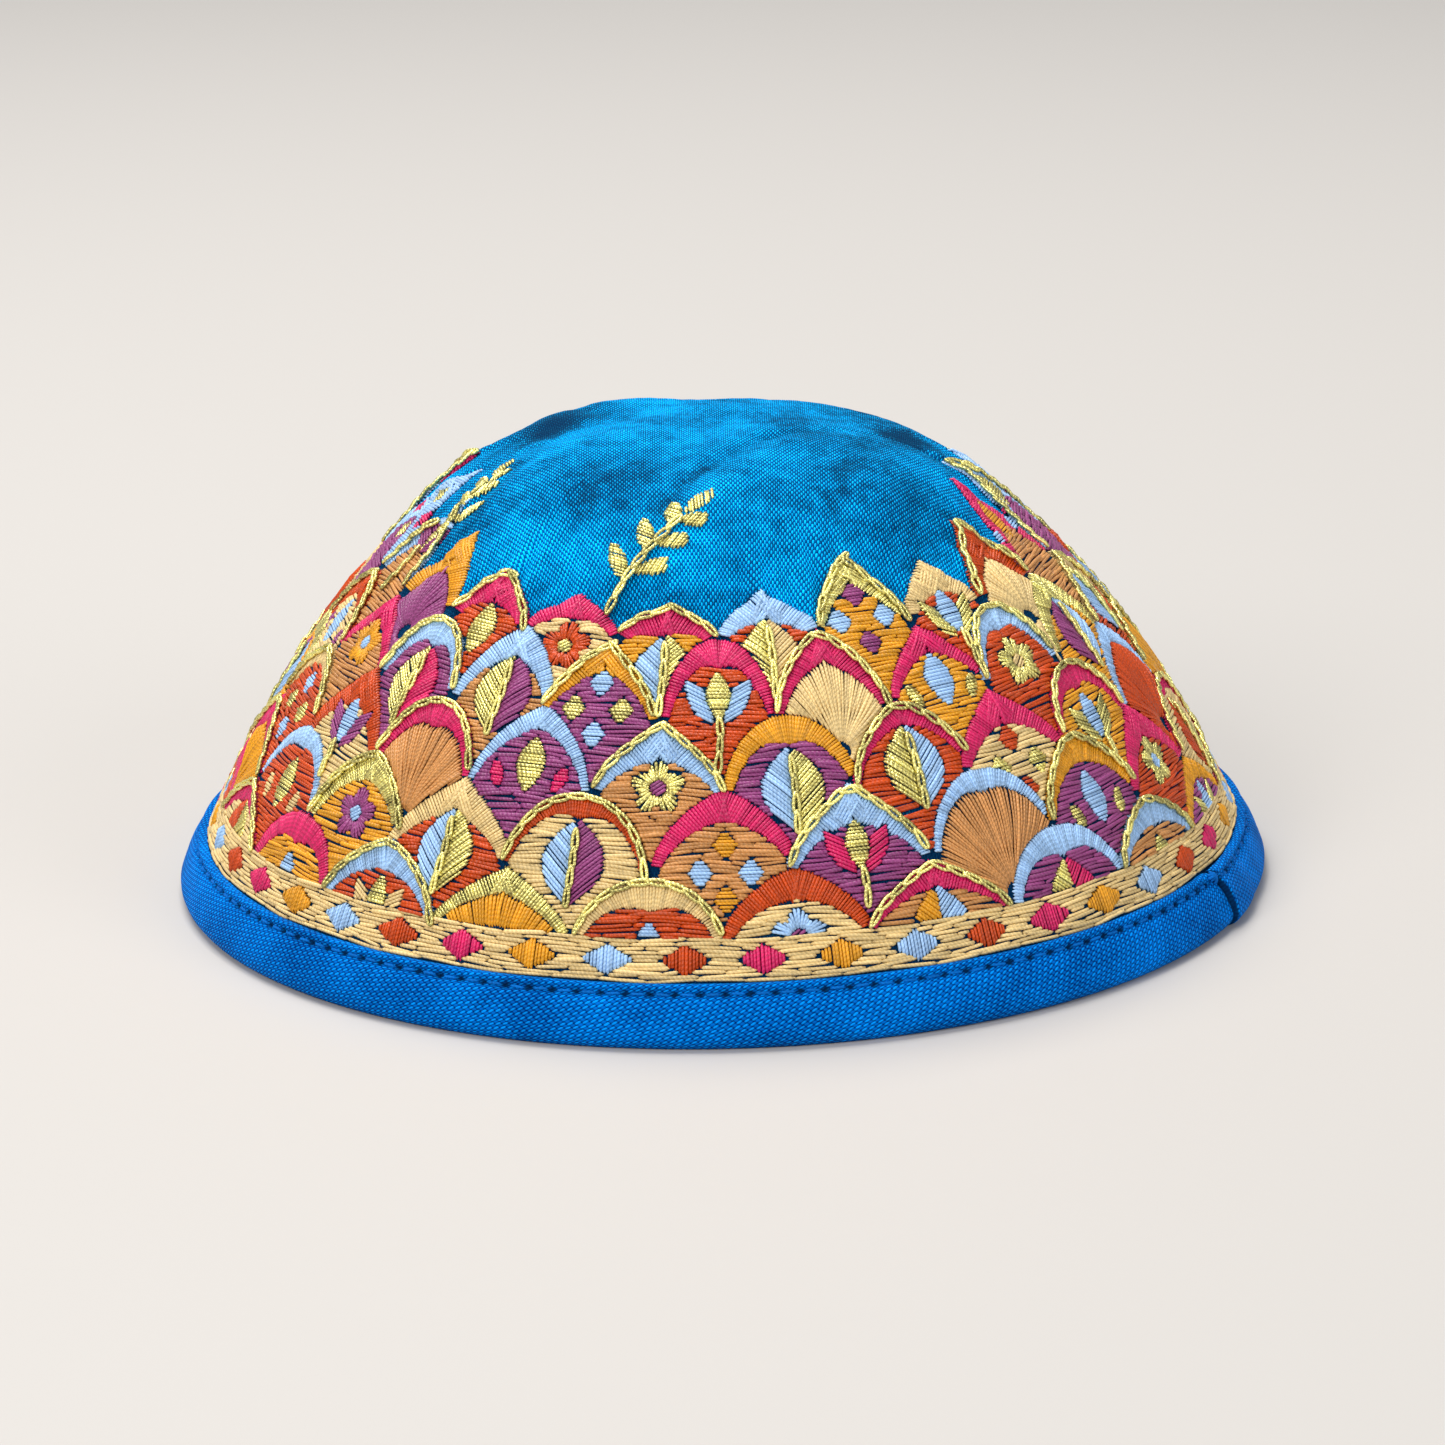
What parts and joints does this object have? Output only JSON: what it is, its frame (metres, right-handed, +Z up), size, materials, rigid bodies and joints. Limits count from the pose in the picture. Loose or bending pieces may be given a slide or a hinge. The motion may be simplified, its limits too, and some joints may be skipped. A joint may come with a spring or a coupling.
{
  "type": "embroidered kippah",
  "caption": "Low domed cloth skullcap with an embroidered band round its sides and a folded tape bound over its round rim.",
  "frame": {"origin": "middle of the rim, on the surface that the cap rests on", "axes": "+Z up through the top of the crown, front towards -Y, the tape's joint towards +X and a little to the front"},
  "size_m": [0.14, 0.14, 0.0586],
  "materials": {
    "crown_cloth": "plain-woven bright blue cotton with a slight sheen",
    "embroidery_thread": "glossy machine-embroidery thread in eight colours, pale gold metallic among them",
    "rim_tape_cloth": "matt bias-cut cotton tape in a deeper blue"
  },
  "bodies": {
    "root": {"crown": "crown_cloth", "embroidery": "embroidery_thread", "rim_tape": "rim_tape_cloth"}
  },
  "joints": []
}
